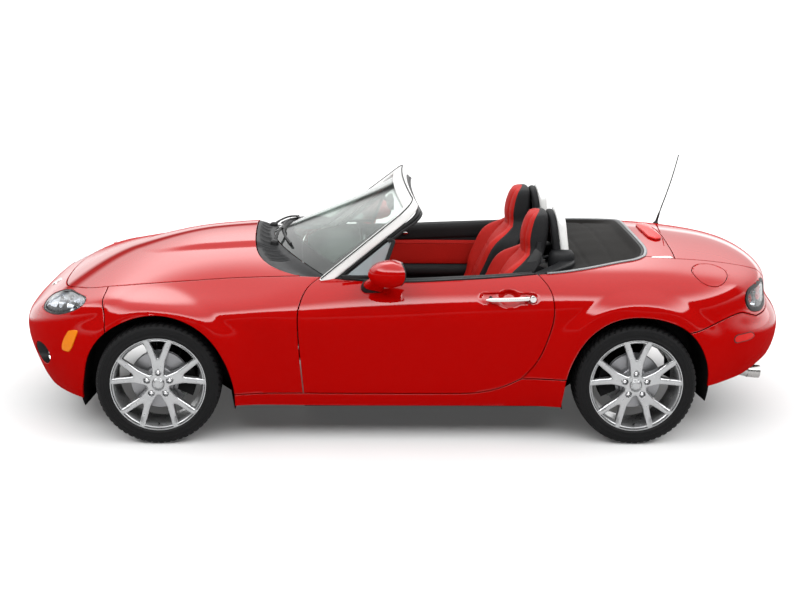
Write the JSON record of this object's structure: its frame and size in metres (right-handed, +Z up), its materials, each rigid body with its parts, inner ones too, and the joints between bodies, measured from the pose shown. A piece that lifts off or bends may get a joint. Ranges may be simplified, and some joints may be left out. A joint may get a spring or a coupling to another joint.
{
  "type": "two-seat convertible car",
  "caption": "Small two-seat open car with its soft top folded; opening doors, bonnet, boot lid and fuel flap, steered front wheels, and free-turning wheels.",
  "frame": {"origin": "on the ground, midway along the car's length and on its centreline", "axes": "+X towards the nose, +Y towards the car's left side, +Z up"},
  "size_m": [3.9859, 1.924, 1.2408],
  "materials": {
    "red_paint": "gloss two-layer paint",
    "clear_lens": "clear moulded lens over reflectors",
    "screen_glass": "green tinted safety glass",
    "silver_paint": "satin silver paint",
    "black_plastic": "grained black plastic",
    "dark_steel": "black underbody coating",
    "cast_metal": "as cast",
    "exhaust_steel": "bare steel",
    "seat_leather": "red leather with black sides",
    "door_trim": "black and red trim",
    "soft_top_cloth": "woven black cloth",
    "tyre_rubber": "rubber",
    "wheel_alloy": "silver painted alloy"
  },
  "bodies": {
    "root": {"antenna": "black_plastic", "arch_liners": "black_plastic", "boot_tub": "dark_steel", "centre_console": "black_plastic", "cowl_panel": "black_plastic", "dashboard": "black_plastic", "engine_block": "cast_metal", "exhaust": "exhaust_steel", "firewall": "dark_steel", "floor_pan": "dark_steel", "folded_soft_top": "soft_top_cloth", "front_bumper": "red_paint", "front_frame": "dark_steel", "front_suspension": "dark_steel", "gearbox_and_shaft": "dark_steel", "grille": "black_plastic", "headlamps": "clear_lens", "left_front_fender": "red_paint", "left_rear_quarter": "red_paint", "left_seat": "seat_leather", "radiator": "dark_steel", "rear_bulkhead": "dark_steel", "rear_bumper": "red_paint", "rear_deck": "red_paint", "rear_suspension": "dark_steel", "right_front_fender": "red_paint", "right_rear_quarter": "red_paint", "right_seat": "seat_leather", "roll_hoops": "silver_paint", "side_sills": "red_paint", "tail_lamps": "clear_lens", "windscreen_frame": "silver_paint", "windscreen_glass": "screen_glass", "wipers": "black_plastic"},
    "left_door": {"left_door": "red_paint", "left_door_trim": "door_trim", "left_mirror": "red_paint", "left_quarter_glass": "screen_glass"},
    "right_door": {"right_door": "red_paint", "right_door_trim": "door_trim", "right_mirror": "red_paint", "right_quarter_glass": "screen_glass"},
    "bonnet": {"bonnet": "red_paint"},
    "boot_lid": {"boot_lid": "red_paint"},
    "fuel_flap": {"fuel_flap": "red_paint"},
    "steering_wheel": {"steering_wheel": "black_plastic"},
    "front_left_knuckle": {"front_left_knuckle": "cast_metal"},
    "front_right_knuckle": {"front_right_knuckle": "cast_metal"},
    "front_left_wheel": {"front_left_wheel": "wheel_alloy", "front_left_tyre": "tyre_rubber"},
    "front_right_wheel": {"front_right_wheel": "wheel_alloy", "front_right_tyre": "tyre_rubber"},
    "rear_left_wheel": {"rear_left_wheel": "wheel_alloy", "rear_left_tyre": "tyre_rubber"},
    "rear_right_wheel": {"rear_right_wheel": "wheel_alloy", "rear_right_tyre": "tyre_rubber"}
  },
  "joints": [
    {"name": "left_door_hinge", "type": "hinge", "parent": "root", "child": "left_door", "pos_m": [0.498, 0.846, 0.55], "axis": [0, 0, -1], "range_deg": [0, 65]},
    {"name": "right_door_hinge", "type": "hinge", "parent": "root", "child": "right_door", "pos_m": [0.498, -0.846, 0.55], "axis": [0, 0, 1], "range_deg": [0, 65]},
    {"name": "bonnet_hinge", "type": "hinge", "parent": "root", "child": "bonnet", "pos_m": [0.45, 0, 0.7946], "axis": [0, -1, 0], "range_deg": [0, 55]},
    {"name": "boot_lid_hinge", "type": "hinge", "parent": "root", "child": "boot_lid", "pos_m": [-1.383, 0, 0.8845], "axis": [0, 1, 0], "range_deg": [0, 75]},
    {"name": "fuel_flap_hinge", "type": "hinge", "parent": "root", "child": "fuel_flap", "pos_m": [-1.3857, 0.75794, 0.78281], "axis": [0, 0.6843, -0.7292], "range_deg": [0, 85]},
    {"name": "steer_left", "type": "hinge", "parent": "root", "child": "front_left_knuckle", "pos_m": [1.22, 0.7, 0.304], "axis": [0, 0, 1], "range_deg": [-33, 33]},
    {"name": "steer_right", "type": "hinge", "parent": "root", "child": "front_right_knuckle", "pos_m": [1.22, -0.7, 0.304], "axis": [0, 0, 1], "range_deg": [-33, 33]},
    {"name": "steering_wheel_turn", "type": "hinge", "parent": "root", "child": "steering_wheel", "pos_m": [0.045, 0.365, 0.668], "axis": [-0.9135, 0, 0.4067], "range_deg": [-495, 495]},
    {"name": "front_left_spin", "type": "hinge", "parent": "front_left_knuckle", "child": "front_left_wheel", "pos_m": [1.22, 0.745, 0.304], "axis": [0, 1, 0], "continuous": true},
    {"name": "front_right_spin", "type": "hinge", "parent": "front_right_knuckle", "child": "front_right_wheel", "pos_m": [1.22, -0.745, 0.304], "axis": [0, 1, 0], "continuous": true},
    {"name": "rear_left_spin", "type": "hinge", "parent": "root", "child": "rear_left_wheel", "pos_m": [-1.11, 0.745, 0.304], "axis": [0, 1, 0], "continuous": true},
    {"name": "rear_right_spin", "type": "hinge", "parent": "root", "child": "rear_right_wheel", "pos_m": [-1.11, -0.745, 0.304], "axis": [0, 1, 0], "continuous": true}
  ],
  "couplings": [
    {"joint": "steer_right", "follows": "steer_left", "ratio": 1},
    {"joint": "steering_wheel_turn", "follows": "steer_left", "ratio": 15}
  ]
}
